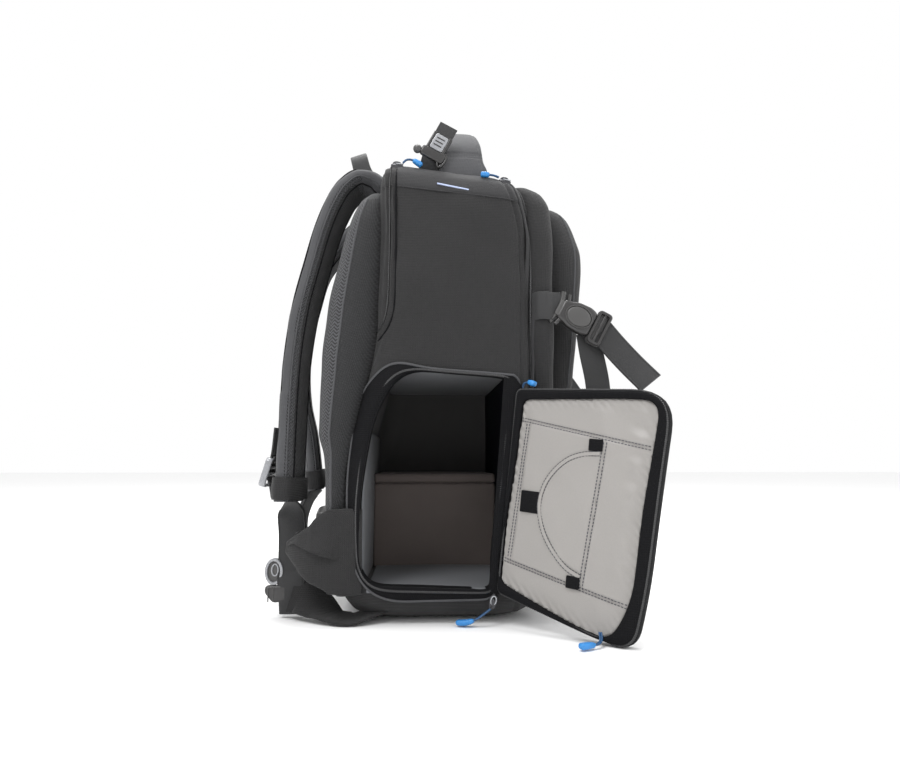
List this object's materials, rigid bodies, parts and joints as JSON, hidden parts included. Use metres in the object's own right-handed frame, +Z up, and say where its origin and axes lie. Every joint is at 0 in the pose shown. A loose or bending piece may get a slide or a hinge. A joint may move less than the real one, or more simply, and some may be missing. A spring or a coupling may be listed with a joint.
{
  "type": "camera backpack",
  "caption": "Upright padded camera backpack with its side door standing open on a divided camera bay, with harness, hip belt, front pocket and grab handle.",
  "frame": {"origin": "middle of the flat base, on the floor that the bag stands on", "axes": "+Z up along the bag's height, +Y towards the wearer, -Y the front pocket, -X the side with the door"},
  "size_m": [0.3879, 0.4113, 0.533],
  "materials": {
    "fabric": "charcoal ripstop cloth, finely textured, matt",
    "spacer_mesh": "padded spacer mesh with open holes, matt",
    "webbing": "ribbed woven webbing, slightly shiny",
    "bay_lining": "smooth grey brushed lining over foam",
    "door_lining": "light warm grey lining, stitched, with black binding",
    "dark_plastic": "moulded near-black plastic, satin",
    "grey_plastic": "light grey moulded plastic, glossy",
    "zip_slider": "dark plated metal",
    "pull_cord": "bright blue cord with moulded ends"
  },
  "bodies": {
    "root": {"bag_shell": "fabric", "front_panel": "fabric", "front_pocket": "fabric", "top_handle": "fabric", "strap_pad_near": "fabric", "strap_pad_far": "fabric", "belt_wing_near": "fabric", "belt_wing_far": "fabric", "back_pad": "spacer_mesh", "hang_loop": "webbing", "top_web": "webbing", "hip_belt": "webbing", "strap_band_near": "webbing", "strap_band_far": "webbing", "strap_tail_near": "webbing", "strap_tail_far": "webbing", "lower_web_near": "webbing", "lower_web_far": "webbing", "base_tab_near": "webbing", "base_tab_far": "webbing", "side_anchor_near": "webbing", "side_anchor_far": "webbing", "side_tail_near": "webbing", "side_tail_far": "webbing", "load_strap_near": "webbing", "load_strap_far": "webbing", "bay_ceiling": "bay_lining", "bay_front_wall": "bay_lining", "bay_rear_wall": "bay_lining", "bay_shelf": "bay_lining", "bay_divider": "bay_lining", "side_door": "door_lining", "belt_buckle": "dark_plastic", "web_catch_near": "dark_plastic", "web_catch_far": "dark_plastic", "side_socket_near": "dark_plastic", "side_socket_far": "dark_plastic", "side_plug_near": "dark_plastic", "side_plug_far": "dark_plastic", "top_lock": "grey_plastic", "strap_lock_near": "grey_plastic", "strap_lock_far": "grey_plastic", "web_lock_near": "grey_plastic", "web_lock_far": "grey_plastic", "laptop_slider": "zip_slider", "main_slider": "zip_slider", "door_slider": "zip_slider", "laptop_pull": "pull_cord", "main_pull": "pull_cord", "door_pull": "pull_cord", "corner_pull": "pull_cord", "hinge_pull": "pull_cord"}
  },
  "joints": []
}
